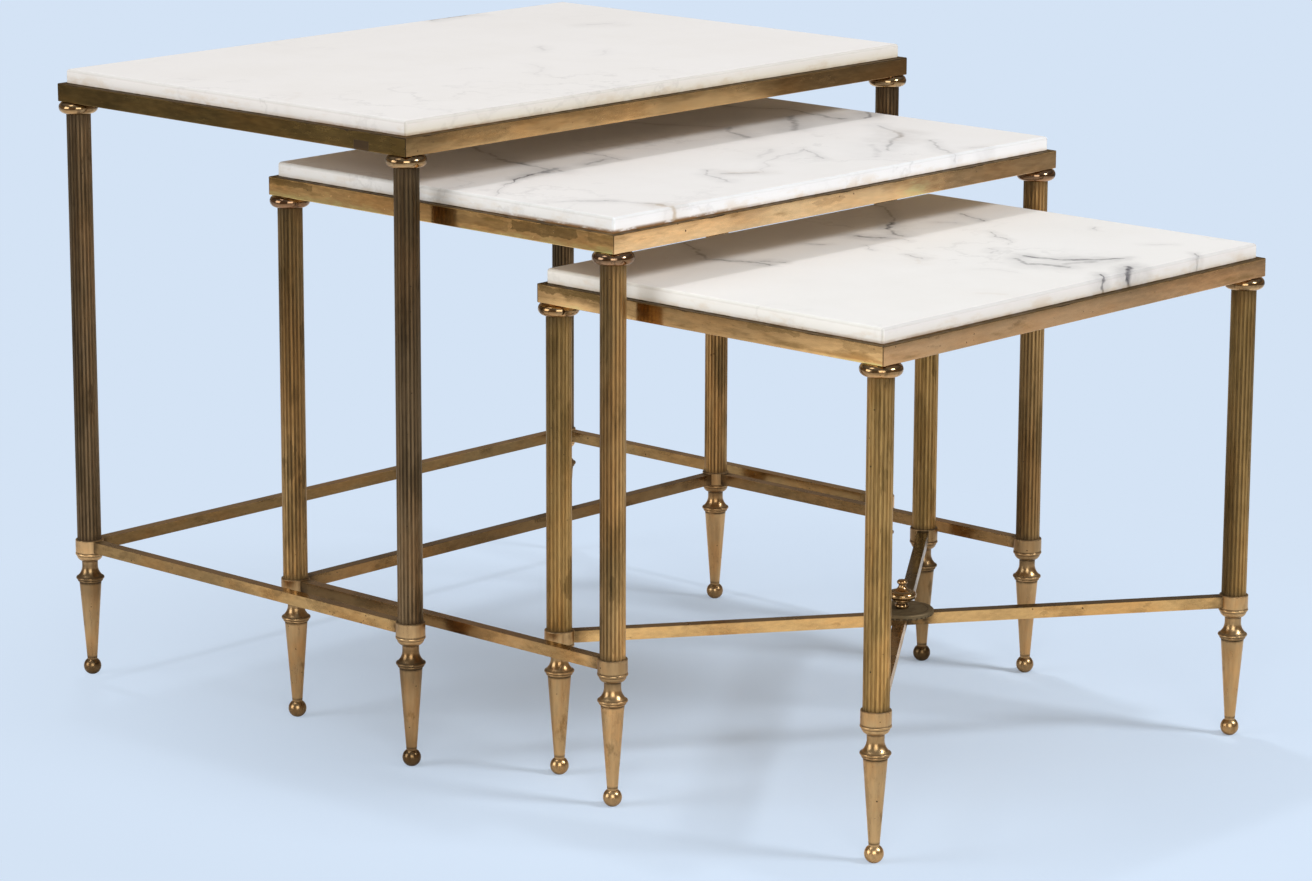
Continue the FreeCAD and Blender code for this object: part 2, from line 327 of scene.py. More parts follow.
def darkened(tone, *factors):
    return colour(*(part * factor for part, factor in zip(tone, factors)))


GRIME_AND_SHADE = colour(0.022, 0.015, 0.009)
COPPERY = colour(1.08, 0.96, 0.84)
WAX_AND_SHADOW = colour(0.062, 0.035, 0.010)
OLIVE = colour(0.125, 0.080, 0.024)
SOOT = colour(0.035, 0.024, 0.012)
OLD_MARK = colour(0.034, 0.020, 0.015)
DISC_DUST = colour(0.128, 0.099, 0.056)

VEIN_TONES = {"grey": colour(0.10, 0.10, 0.115), "tan": colour(0.42, 0.31, 0.19)}
CREAM = colour(0.62, 0.50, 0.33)
SOAKED = colour(0.60, 0.47, 0.32)
SEAM_AND_SHADOW = colour(0.055, 0.031, 0.009)
BEDDED = colour(0.50, 0.37, 0.24)
RUST = colour(0.25, 0.13, 0.050)
ARRIS_PAINTED_SHADE = colour(0.87, 0.865, 0.855)
CORNER_PAINTED_SHADE = colour(0.96, 0.955, 0.945)

BACKGROUND = colour(0.658, 0.768, 0.913)
FLOOR_SEEN = colour(0.625, 0.755, 0.93)
FLOOR_PALE = colour(0.80, 0.79, 0.78)
FLOOR_DIM = colour(0.22, 0.20, 0.18)
# Height from 0 (straight down) to 1 (straight up), and the light that comes from there.
ROOM = (
    (0.22, colour(0.34, 0.25, 0.165)),
    (0.38, colour(0.14, 0.122, 0.105)),
    (0.75, colour(0.40, 0.40, 0.41)),
)


# ---- Materials ----

def new_material(name):
    material = bpy.data.materials.new(name)
    material.use_nodes = True
    graph = Graph(material.node_tree)
    shader = material.node_tree.nodes["Principled BSDF"]
    return material, graph, shader


def brass(name, tones, dullness, roughness, stretch=(60, 60, 60), grain=None, pitted=0.05, blotched=0.5,
          unevenness=0.03, grime=(), stained=(), rubbed=None, shaded=None, seed=0.0):
    """Old brass: cloudy tarnish over a cleaner metal, blotches, small pits and grime in its corners.

    Tones are the clean and the dull metal. Dullness, pitted and blotched are shares from 0 to 1, stretch
    and grain count the coarse and fine patches to a metre, and unevenness is the depth of bumps in mm.
    Grime, stained and rubbed add masks, marks and wear, with painted shade among them; shaded adds painted
    light and shade as brightness.
    """
    material, graph, shader = new_material(name)
    clean, dull = (colour(*tone) for tone in tones)
    grain = grain or tuple(7 * s for s in stretch)
    tarnish_from = 0.62 - 0.3 * dullness
    tarnish = graph.cloud(stretch, tarnish_from, tarnish_from + 0.12, seed)
    fine = graph.cloud(grain, 0.3, 0.7, seed + 3)
    blotch = graph.cloud(tuple(1.3 * s for s in stretch), 0.6, 0.62, seed + 7)
    copper = graph.cloud(tuple(0.8 * s for s in stretch), 0.4, 0.65, seed + 9)
    pits = graph.use(PITS, Share=pitted)["Mask"]
    if rubbed:
        blotch, tarnish = rubbed(graph, blotch, tarnish)
    tone = graph.tinted(copper, graph.blend(tarnish, clean, dull), COPPERY)
    shade = graph.between(fine, 0.88, 1.12)
    if shaded:
        shade = graph.times(shade, shaded(graph))
    grey = graph.add("ShaderNodeCombineXYZ", {"X": shade, "Y": shade, "Z": shade})
    tone = graph.vector("MULTIPLY", tone, grey.outputs[0])
    tone = graph.blend(graph.times(blotch, blotched), tone, darkened(dull, 0.5, 0.5, 0.5))
    # Grime masks bring dirt, and on the columns also painted shade under the ring caps.
    dirt = graph.times(pits, 0.9)
    for mask in grime:
        dirt = graph.math("MAXIMUM", dirt, mask(graph))
    crust = dirt
    # Stained masks bring marks, and on the rails also painted contact shadow beside the marble.
    for mask, mark_tone, thickness in stained:
        amount = mask(graph)
        tone = graph.blend(amount, tone, mark_tone)
        crust = graph.math("MAXIMUM", crust, graph.times(amount, thickness))
    tone = graph.blend(dirt, tone, GRIME_AND_SHADE)
    rough = roughness
    for mask, rise in ((tarnish, 0.08), (blotch, 0.08), (fine, 0.04), (crust, 0.35)):
        rough = graph.math("MULTIPLY_ADD", mask, rise, rough)
    wave = graph.cloud(tuple(1.6 * s for s in stretch), seed=seed, detail=1.0, kind="Raw")
    relief = graph.math("SUBTRACT", graph.math("MULTIPLY_ADD", fine, 0.08, wave), pits)
    bump = graph.add("ShaderNodeBump", {"Height": relief, "Strength": 1.0, "Distance": unevenness * MM})
    graph.join(tone, shader.inputs["Base Color"])
    graph.join(rough, shader.inputs["Roughness"])
    graph.join(graph.between(crust, 1.0, 0.1), shader.inputs["Metallic"])
    shader.inputs["Specular IOR Level"].default_value = 0.12
    graph.join(bump.outputs[0], shader.inputs["Normal"])
    return material


def steel(name):
    material, graph, shader = new_material(name)
    streaks = graph.cloud((400, 400, 20), 0.3, 0.7)
    tone = graph.blend(streaks, colour(0.32, 0.31, 0.30), colour(0.42, 0.41, 0.40))
    graph.join(tone, shader.inputs["Base Color"])
    graph.join(graph.between(streaks, 0.35, 0.50), shader.inputs["Roughness"])
    shader.inputs["Metallic"].default_value = 1.0
    return material


# ---- Dirt, wear and painted shade on the rails ----
# Levels on the rails and the marble are in mm above the lip, which is the top edge of the frame.

def lip_wax_and_shadow(table):
    """Old brown wax and painted contact shadow on the top edge of the frame, beside the marble."""
    lip = LIP_Z[table]

    def mask(graph):
        top = graph.level(lip, -0.9, -0.25)
        patchy = graph.cloud(110, 0.3, 0.6, seed=13.0)
        return graph.times(top, graph.between(patchy, 0.84, 0.99))
    return mask


def lip_soot(table, stretch):
    """Black crumbs of dirt along the outer top edge of a rail."""
    lip = LIP_Z[table]

    def mask(graph):
        ragged = graph.cloud(tuple(4 * s for s in stretch), seed=37.0, kind="Raw")
        edge = graph.math("MULTIPLY_ADD", ragged, -4.0 * MM, lip + 1.2 * MM)
        below = graph.step(graph.height(), edge, graph.math("ADD", edge, 0.25 * MM))
        upright = graph.level(lip, -0.02, -0.4)
        runs = graph.cloud(stretch, 0.5, 0.56, seed=41.0)
        return graph.times(below, upright, runs, 0.9)
    return mask


def mitre_line(table):
    """A dark line where a left or right rail meets the front and back rails at the mitres."""
    low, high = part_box(table + "_marble_top")
    middle = (low[Y] + high[Y]) / 2
    reach = (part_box(table + "_back_rail")[1][Y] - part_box(table + "_front_rail")[0][Y]) / 2

    def mask(graph):
        away = graph.away(graph.split(graph.place())["Y"], middle)
        return graph.times(graph.step(away, reach - 1.3 * MM, reach - 0.6 * MM), 0.8)
    return mask


def olive_patch(table, start, end, low, high, strength):
    """A dull patch on a left rail, from start to end along Y, low to high below its top edge, in mm."""
    lip = LIP_Z[table]

    def mask(graph):
        place = graph.split(graph.place())
        ragged = graph.math("SUBTRACT", graph.cloud((90, 90, 130), seed=43.0, kind="Raw"), 0.5)
        along = graph.math("MULTIPLY_ADD", ragged, 16 * MM, place["Y"])
        height = graph.math("MULTIPLY_ADD", ragged, 9 * MM, place["Z"])
        return graph.times(
            graph.step(along, start * MM, (start + 1) * MM),
            graph.step(along, end * MM, (end - 1) * MM),
            graph.step(height, lip - low * MM, lip - (low + 0.5) * MM),
            graph.step(height, lip - (high + 0.5) * MM, lip - high * MM),
            graph.between(graph.cloud((400, 400, 60), 0.2, 0.5, seed=47.0), 0.65, 1.0),
            strength,
        )
    return mask


def old_mark(graph):
    """A dark square mark low on the left rail of the large table, near its front corner."""
    lip = LIP_Z["large"]
    place = graph.split(graph.place())
    starts = graph.step(place["Y"], 39.5 * MM, 40.5 * MM)
    ends = graph.step(place["Y"], 55 * MM, 54 * MM)
    below = graph.level(lip, -5.6, -6.4)
    return graph.times(starts, ends, below, 0.8)


def rubbed_and_shaded_rail(table):
    """Lower edge rubbed clean by hands; blotches keep to the upper part; painted shade darkens the top."""
    lip = LIP_Z[table]

    def rub(graph, blotch, tarnish):
        upper = graph.level(lip, -9.5, -5.0)
        clean_edge = graph.level(lip, -10.3, -11.9)
        shade = graph.times(graph.level(lip, -3.5, -0.4), 0.55)
        tarnish = graph.math("MAXIMUM", tarnish, shade)
        return graph.times(blotch, upper), graph.times(tarnish, graph.math("SUBTRACT", 1.0, clean_edge))
    return rub


# ---- Dirt and painted shade on the legs, the bars and what stands on their crossing ----

def joint_grime(table):
    """Dirt where a bar meets the collar of a leg."""
    centre, spans = LEG_AXES[table]
    dirt_end, collar = 20 * MM, 9.5 * MM

    def mask(graph):
        radius = graph.use(LEG, Centre=centre, Half_spans=spans)["Radius"]
        near = graph.step(radius, dirt_end, collar)
        patchy = graph.cloud(160, 0.3, 0.7, seed=19.0)
        return graph.times(near, graph.between(patchy, 0.35, 0.95))
    return mask


def crossing_grime(centre):
    """Dirt and old solder where the two bars cross under the disc."""
    dirt_end, dirt_full = 26 * MM, 15 * MM

    def mask(graph):
        radius = graph.seen_length(graph.vector("SUBTRACT", graph.place(), centre))
        near = graph.step(radius, dirt_end, dirt_full)
        patchy = graph.cloud(220, 0.35, 0.6, seed=61.0)
        return graph.times(near, graph.between(patchy, 0.45, 0.90))
    return mask


def flute_grime_and_cap_shade(table):
    """Grime in the grooves of the columns and on the collar, and painted shade just under the ring cap."""
    centre, spans = LEG_AXES[table]
    thick = FLUTE_DIRT[table]
    top = TOP_Z[table]
    ridge, groove_floor = 8.35 * MM, 7.8 * MM

    def mask(graph):
        radius = graph.use(LEG, Centre=centre, Half_spans=spans)["Radius"]
        patchy = graph.cloud((90, 90, 22), 0.3, 0.62, seed=5.0)
        amount = graph.between(patchy, 0.35 * thick, 0.95 * thick)
        groove = graph.times(graph.step(radius, ridge, groove_floor), amount)
        # Painted shade just under the overhanging ring cap.
        cap_shade = graph.level(top, -44.0, -31.0)
        on_collar = graph.level(COLUMN_FOOT, 4.5, 0.1)
        ends = graph.times(graph.math("MAXIMUM", cap_shade, on_collar), 0.5)
        return graph.math("MAXIMUM", groove, ends)
    return mask


# Dirt on a turned foot: height above the floor in mm, and how much of it.
FOOT_DIRT = (
    (0.0, 0.6), (1.2, 0.25), (3.0, 0.0), (11.5, 0.0), (12.4, 0.9), (14.0, 0.0), (66.4, 0.0),
    (68.1, 0.95), (69.0, 0.2), (69.6, 0.2), (70.2, 0.85), (70.8, 0.0), (71.5, 0.0), (72.2, 0.8),
    (73.2, 0.0), (79.0, 0.0), (81.0, 0.15), (82.5, 0.3), (83.7, 0.95), (84.5, 0.1), (87.1, 0.0),
    (87.8, 0.9), (88.5, 0.0), (89.3, 0.0), (90.0, 0.95), (90.8, 0.0), (98.5, 0.0), (99.3, 0.8),
)
# Dirt on the finial: height of each hollow above the floor and half its width, in mm.
FINIAL_DIRT = ((102.0, 0.6), (106.0, 1.0), (108.3, 0.5), (113.7, 0.6), (118.2, 0.9))


def turned_grime(graph):
    """Grime in the hollows of the turned feet and along the edges of the collars."""
    highest = 100.0
    height = graph.times(graph.height(), 1 / (highest * MM))
    dirt = graph.ramp(height, [(level / highest, colour(grey, grey, grey)) for level, grey in FOOT_DIRT])
    patchy = graph.cloud(180, 0.25, 0.6, seed=2.0)
    return graph.times(dirt, graph.between(patchy, 0.5, 1.0))


def finial_grime(graph):
    """Dirt in the hollows of the finial."""
    height = graph.height()
    total = 0.0
    for level, reach in FINIAL_DIRT:
        near = graph.step(graph.away(height, level * MM), reach * MM, 0.0)
        total = graph.math("MAXIMUM", total, near)
    return graph.times(total, 0.8)


def disc_grime(centre):
    """A turned line near the edge of the disc, and remains of solder round its rim."""
    line_radius = 17.5 * MM

    def mask(graph):
        place = graph.vector("SUBTRACT", graph.place(), centre)
        away = graph.away(graph.seen_length(place), line_radius)
        line = graph.times(graph.step(away, 0.7 * MM, 0.1 * MM), 0.6)
        low = graph.step(graph.split(place)["Z"], DISC_FOOT + 1.45 * MM, DISC_FOOT + 0.65 * MM)
        crumbs = graph.cloud((420, 420, 300), 0.48, 0.54, seed=53.0)
        return graph.math("MAXIMUM", line, graph.times(low, crumbs, 0.8))
    return mask


# ---- Brightness: painted light, shade and reflections, partly uneven tarnish ----

def graded(axis, stops):
    """Brightness that changes along an axis: pairs of a place in mm and a factor."""
    def shade(graph):
        place = graph.split(graph.place())["XYZ"[axis]]
        value = stops[0][1]
        for (start, before), (end, factor) in zip(stops, stops[1:]):
            part = graph.step(place, start * MM, end * MM)
            value = graph.math("MULTIPLY_ADD", part, factor - before, value)
        return value
    return shade


def by_leg(table, factors, spans=None):
    """Brightness by leg, in the order of CORNERS; it changes over spans on each side of the centre."""
    centre, axis_spans = LEG_AXES[table]
    half_length, half_depth = (spans or axis_spans)[:2]
    front_left, front_right, back_left, back_right = factors

    def shade(graph):
        place = graph.split(graph.vector("SUBTRACT", graph.place(), centre))
        right = graph.step(place["X"], -half_length, half_length)
        back = graph.step(place["Y"], -half_depth, half_depth)
        in_front = graph.between(right, front_left, front_right)
        behind = graph.between(right, back_left, back_right)
        return graph.slide(back, in_front, behind)
    return shade


def rail_shade(table, side):
    """Painted light and shade on a rail along its length, times that from its lower to its upper edge."""
    lip = LIP_Z[table] / MM
    low, high = RAIL_HEIGHT_SHADES[table][side]
    along = graded(X if side == "front" else Y, RAIL_SHADES[table][side])
    upright = graded(Z, [(lip - 11.5, low), (lip - 7, 1.0), (lip - 6, 1.0), (lip - 2, high)])

    def shade(graph):
        return graph.times(along(graph), upright(graph))
    return shade


def turned_shade(table):
    """Painted light and shade on the turned pieces by leg and height; the balls have their own."""
    leg = by_leg(table, TURNED_SHADES[table])
    upright = graded(Z, TURNED_STOPS[table])
    ball = by_leg(table, BALL_SHADES[table])
    ball_end, spike_start = 9.5, 13.0

    def shade(graph):
        part = graph.level(0.0, ball_end, spike_start)
        return graph.slide(part, ball(graph), graph.times(leg(graph), upright(graph)))
    return shade


def column_shade(table):
    """Painted light and shade on columns by leg, left to right as the camera sees them, and low to high."""
    centre, spans = LEG_AXES[table]
    half_width, low_end, high_start = 6 * MM, 130 * MM, 300 * MM
    corners = [by_leg(table, factors) for factors in zip(*COLUMN_SHADES[table])]

    def shade(graph):
        place = graph.vector("SUBTRACT", graph.place(), centre)
        axis = graph.vector("MULTIPLY", graph.vector("SIGN", place), (spans[X], spans[Y], 0.0))
        offset = graph.vector("DOT_PRODUCT", graph.vector("SUBTRACT", place, axis), SIDEWAYS)
        right = graph.step(offset, -half_width, half_width)
        high = graph.step(graph.split(place)["Z"], low_end, high_start)
        low_left, low_right, high_left, high_right = (corner(graph) for corner in corners)
        lower = graph.slide(right, low_left, low_right)
        upper = graph.slide(right, high_left, high_right)
        return graph.slide(high, lower, upper)
    return shade


def upper_face(graph):
    """1 on the upper face of the bars, 0 on their sides."""
    return graph.level(BAR_TOP, -0.45, -0.1)


def bar_shade(table, side):
    """Painted light and shade along a stretcher; its upper face has a brightness of its own."""
    stops, top = BAR_SHADES[table][side]
    along = graded(X if side == "back" else Y, stops)

    def shade(graph):
        return graph.slide(upper_face(graph), along(graph), top)
    return shade


def cross_shade(table):
    """Painted light and shade on the crossed bars by leg, and on their upper faces."""
    crossing = (25 * MM, 25 * MM)
    beside, above = (by_leg(table, factors, spans=crossing) for factors in CROSS_SHADES)

    def shade(graph):
        return graph.slide(upper_face(graph), beside(graph), above(graph))
    return shade


# ---- Marble ----

def marble_ground(graph, white):
    """White stone in soft clouds; also returns the clouds."""
    cloud = graph.cloud(9, 0.3, 0.75, seed=1.0)
    return graph.blend(cloud, white, darkened(white, 0.955, 0.95, 0.94)), cloud


def faint_ridges(graph):
    """Thin faint lines all over the stone, in patches."""
    faint = graph.cloud(14, seed=11.0, detail=6.0, kind="Raw")
    ridge = graph.step(graph.away(faint, 0.5), 0.022, 0.0)
    patch = graph.cloud(6, 0.5, 0.65, seed=17.0)
    return graph.times(ridge, patch, 0.13)


def wandering_point(graph):
    """The place as seen from above, shifted a little so that straight strokes wander."""
    place = graph.place()
    wander = graph.add("ShaderNodeTexNoise", {
        "Vector": place,
        "Scale": 28.0,
        "Detail": 4.0,
        "Roughness": 0.6,
    })
    shift = graph.vector("SUBTRACT", wander.outputs["Color"], (0.5, 0.5, 0.5))
    return graph.vector("MULTIPLY", graph.vector("ADD", place, graph.scaled(shift, 28 * MM)), FLAT)


def veined(graph, tone, table):
    """Grey and tan veins at their places, broken here and there."""
    point = wandering_point(graph)
    broken = graph.cloud(70, 0.25, 0.7, seed=23.0)
    strength = {"grey": graph.between(broken, 0.45, 1.25), "tan": graph.between(broken, 0.4, 1.0)}
    total = {"grey": faint_ridges(graph), "tan": 0.0}
    for kind, veins in (("grey", GREY_VEINS[table]), ("tan", TAN_VEINS[table])):
        for start, end, width, weight in veins:
            stroke = graph.use(
                STROKE,
                Point=point,
                Start=(start[X] * MM, start[Y] * MM, 0.0),
                End=(end[X] * MM, end[Y] * MM, 0.0),
                Width=width * MM,
                Strength=weight,
            )["Mask"]
            total[kind] = graph.math("MAXIMUM", total[kind], stroke)
        amount = graph.math("MULTIPLY", total[kind], strength[kind], clamp=kind == "grey")
        tone = graph.blend(amount, tone, VEIN_TONES[kind])
    return tone


def soiled(graph, tone, lip):
    """Cream dirt low on the sides, where the stone has drawn in polish from the frame."""
    low = graph.level(lip, 3.5, 0)
    uneven = graph.cloud(120, 0.35, 0.6, seed=29.0)
    tone = graph.blend(graph.times(low, graph.between(uneven, 0.15, 0.50)), tone, CREAM)
    soaked = graph.cloud((38, 38, 90), 0.5, 0.66, seed=59.0)
    rising = graph.level(lip, 9.9, 3.0)
    return graph.blend(graph.times(soaked, rising, 0.36), tone, SOAKED)


def painted_side_light(graph, tone, table, low_corner):
    """Painted light and shade on the sawn front and left sides: some darker, some paler than the polished
    top.
    """
    place = graph.split(graph.place())
    start, end = 2.0 * MM, 1.3 * MM
    front = graph.step(place["Y"], low_corner[Y] + start, low_corner[Y] + end)
    down = graph.level(LIP_Z[table], 9.0, 1.0)
    tone = graph.tinted(front, tone, graph.blend(down, *FRONT_SIDE_PAINTED_LIGHT[table]))
    left = graph.step(place["X"], low_corner[X] + start, low_corner[X] + end)
    return graph.tinted(left, tone, LEFT_SIDE_PAINTED_LIGHT[table])


def corner_edges(graph, low_corner, high_corner):
    """A mask of the four upright edges of a slab."""
    place = graph.split(graph.place())
    edges = []
    for axis in (X, Y):
        middle = (low_corner[axis] + high_corner[axis]) / 2
        reach = (high_corner[axis] - low_corner[axis]) / 2
        away = graph.away(place["XY"[axis]], middle)
        edges.append(graph.step(away, reach - 1.5 * MM, reach - 0.7 * MM))
    return graph.times(*edges)


def bedded(graph, tone, lip):
    """A dark seam where the slab goes into its frame, partly painted contact shadow; stained stone inside the
    frame.
    """
    uneven = graph.cloud(120, 0.35, 0.6, seed=29.0)
    seam = graph.level(lip, 0.6, 0.3)
    tone = graph.blend(graph.times(seam, graph.between(uneven, 0.9, 1.0)), tone, SEAM_AND_SHADOW)
    return graph.blend(graph.level(lip, -0.2, -0.8), tone, BEDDED)


def rusted(graph, tone, lip, strength, source):
    """Rusty spots low on the sides, fading with the distance from their source."""
    base = graph.level(lip, 2.8, 0.6)
    spots = graph.cloud((90, 90, 260), 0.36, 0.52, seed=31.0)
    distance = graph.vector("LENGTH", graph.vector("SUBTRACT", graph.place(), source + (lip,)))
    near = graph.step(distance, 0.15, 0.05)
    return graph.blend(graph.times(base, spots, near, strength), tone, RUST)


def marble(table):
    """White marble with soft clouds, veins, traces of its brass frame, and painted light and shade at its
    edges.
    """
    material, graph, shader = new_material(table + "_marble")
    low_corner, high_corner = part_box(table + "_marble_top")
    lip = LIP_Z[table]
    tone, cloud = marble_ground(graph, WHITES[table])
    tone = veined(graph, tone, table)
    tone = soiled(graph, tone, lip)
    tone = painted_side_light(graph, tone, table, low_corner)
    # The four upright edges get a slightly darker tint as painted shade.
    tone = graph.tinted(corner_edges(graph, low_corner, high_corner), tone, CORNER_PAINTED_SHADE)
    tone = bedded(graph, tone, lip)
    tone = rusted(graph, tone, lip, *RUST_SPOTS[table])
    # The rounded top edge gets a darker tint as painted shade, and more roughness.
    arris = graph.times(graph.level(lip, 7.6, 8.6), graph.level(lip, 9.99, 9.85))
    graph.join(graph.tinted(arris, tone, ARRIS_PAINTED_SHADE), shader.inputs["Base Color"])
    rough = graph.math("MULTIPLY_ADD", arris, 0.3, graph.between(cloud, 0.50, 0.58))
    graph.join(rough, shader.inputs["Roughness"])
    shader.inputs["Specular IOR Level"].default_value = 0.18
    return material


# ---- Light and floor ----

LAMP_AIM = Vector((0.0, 0.0, 0.25))
# Direction of each lamp from where it aims, distance and width in metres, watts, and tint if it has one.
LAMPS = {
    "front_lamp": ((0.295, -0.72, 0.626), 5.0, 1.1, 145),
    "top_lamp": ((0.121, 0.259, 0.958), 4.5, 0.26, 34),
    "high_left_lamp": ((-0.45, 0.27, 0.85), 4.5, 1.2, 21),
    "left_lamp": ((-0.853, 0.453, 0.259), 5.0, 2.4, 80),
    "camera_lamp": ((-0.66, -0.684, 0.33), 5.0, 2.6, 100, (1.0, 0.965, 0.90)),
}


def add_lamp(name, direction, distance, width, watts, tint=(1.0, 1.0, 1.0)):
    data = bpy.data.lights.new(name, "AREA")
    data.shape = "SQUARE"
    data.size = width
    data.energy = watts
    data.color = tint
    lamp = bpy.data.objects.new(name, data)
    towards = Vector(direction).normalized()
    lamp.location = LAMP_AIM + towards * distance
    lamp.rotation_euler = towards.to_track_quat("Z", "Y").to_euler()
    SCENE.collection.objects.link(lamp)


def set_world():
    """A dim room with a paler ceiling; straight to the camera it is the pale background."""
    world = bpy.data.worlds.new("studio")
    SCENE.world = world
    world.use_nodes = True
    world.node_tree.nodes.clear()
    graph = Graph(world.node_tree)
    height = graph.split(graph.add("ShaderNodeTexCoord").outputs["Generated"])["Z"]
    seen = graph.add("ShaderNodeLightPath").outputs["Is Camera Ray"]
    sky = graph.blend(seen, graph.ramp(height, ROOM), BACKGROUND)
    background = graph.add("ShaderNodeBackground", {"Color": sky})
    graph.add("ShaderNodeOutputWorld", {"Surface": background.outputs[0]})


def add_floor():
    """Pale floor whose colour melts into the background away from the tables."""
    middle, squash = (0.05, -0.07, 0.0), (1.0, 0.85, 0.0)
    melt_start, melt_end, least_melt = 0.10, 0.62, 0.17
    dim_start, dim_end = 1.25, 1.6
    bpy.ops.mesh.primitive_plane_add(size=40)
    floor = bpy.context.object
    floor.name = "floor"
    material, graph, shader = new_material("floor")
    material.node_tree.nodes.remove(shader)
    out = material.node_tree.nodes["Material Output"]
    place = graph.vector("MULTIPLY", graph.vector("SUBTRACT", graph.place(), middle), squash)
    away = graph.step(graph.vector("LENGTH", place), melt_start, melt_end)
    near = graph.add("ShaderNodeBsdfDiffuse", {"Color": FLOOR_SEEN})
    far = graph.add("ShaderNodeEmission", {"Color": BACKGROUND, "Strength": 1.0})
    seen = graph.add("ShaderNodeMixShader", {
        0: graph.between(away, least_melt, 1.0),
        1: near.outputs[0],
        2: far.outputs[0],
    })
    edge = graph.step(graph.math("ABSOLUTE", graph.split(graph.place())["X"]), dim_start, dim_end)
    pale = graph.add("ShaderNodeBsdfDiffuse", {"Color": graph.blend(edge, FLOOR_PALE, FLOOR_DIM)})
    to_camera = graph.add("ShaderNodeLightPath").outputs["Is Camera Ray"]
    both = graph.add("ShaderNodeMixShader", {0: to_camera, 1: pale.outputs[0], 2: seen.outputs[0]})
    graph.join(both.outputs[0], out.inputs["Surface"])
    floor.data.materials.append(material)


# ---- Softened copies of the sawn pieces ----

RAIL_EDGE = 0.45 * MM
BAR_EDGE = 0.35 * MM


def softened(node, width):
    """A copy of a sawn piece with its sharp edges rubbed down by width; it stands for the piece."""
    source = NODES[node]
    piece = source.copy()
    piece.data = source.data.copy()
    piece.name = node + "_worn"
    SCENE.collection.objects.link(piece)
    bpy.ops.object.select_all(action="DESELECT")
    bpy.context.view_layer.objects.active = piece
    piece.select_set(True)
    bpy.ops.mesh.customdata_custom_splitnormals_clear()
    bpy.ops.object.mode_set(mode="EDIT")
    bpy.ops.mesh.select_all(action="SELECT")
    bpy.ops.mesh.remove_doubles(threshold=0.005 * MM)
    bpy.ops.mesh.dissolve_limited(angle_limit=math.radians(1.0))
    bpy.ops.object.mode_set(mode="OBJECT")
    bpy.ops.object.shade_smooth()
    bevel = piece.modifiers.new("rubbed edges", "BEVEL")
    bevel.width = width
    bevel.segments = 2
    bevel.limit_method = "ANGLE"
    bevel.angle_limit = math.radians(30)
    bevel.harden_normals = True
    bpy.ops.object.modifier_apply(modifier=bevel.name)
    return piece


def body_of(node):
    return node.split("_")[0] + "_table"


# ---- Tones and brightness of each piece ----

# Clean and dull metal of each kind of piece.
# Front and left rails are lit and shaded copies of one brass: their tones differ by painted light and shade.
RAIL_TONES = {
    "large": {
        "front": ((0.58, 0.38, 0.175), (0.45, 0.29, 0.13)),
        "left": ((0.28, 0.19, 0.07), (0.16, 0.108, 0.038)),
    },
    "middle": {
        "front": ((0.86, 0.60, 0.33), (0.54, 0.36, 0.175)),
        "left": ((0.66, 0.43, 0.19), (0.34, 0.22, 0.085)),
    },
    "small": {
        "front": ((0.54, 0.36, 0.20), (0.38, 0.25, 0.12)),
        "left": ((0.66, 0.43, 0.20), (0.38, 0.24, 0.10)),
    },
}
COLUMN_TONES = {
    "large": ((0.155, 0.110, 0.062), (0.10, 0.072, 0.040)),
    "middle": ((0.33, 0.218, 0.096), (0.19, 0.128, 0.055)),
    "small": ((0.44, 0.295, 0.118), (0.30, 0.20, 0.076)),
}
TURNED_TONES = {
    "large": ((0.55, 0.375, 0.195), (0.30, 0.195, 0.092)),
    "middle": ((0.62, 0.42, 0.215), (0.34, 0.225, 0.108)),
    "small": ((0.64, 0.44, 0.225), (0.36, 0.235, 0.108)),
}
CAP_TONES = {
    "large": ((0.42, 0.30, 0.165), (0.20, 0.135, 0.075)),
    "middle": ((0.30, 0.195, 0.120), (0.16, 0.105, 0.065)),
    "small": ((0.42, 0.285, 0.150), (0.20, 0.135, 0.070)),
}
BAR_TONES = {
    "large": ((0.42, 0.28, 0.125), (0.32, 0.21, 0.092)),
    "middle": ((0.50, 0.32, 0.145), (0.36, 0.23, 0.10)),
    "small": ((0.58, 0.38, 0.165), (0.46, 0.30, 0.130)),
}
FINIAL_TONES = ((0.36, 0.245, 0.125), (0.16, 0.108, 0.052))
DISC_TONES = ((0.19, 0.150, 0.095), (0.105, 0.082, 0.050))

# Dullness and roughness of the rails.
RAIL_FINISH = {
    "large": {"front": (0.5, 0.16), "left": (0.6, 0.16)},
    "middle": {"front": (0.25, 0.15), "left": (0.45, 0.10)},
    "small": {"front": (0.35, 0.17), "left": (0.45, 0.11)},
}
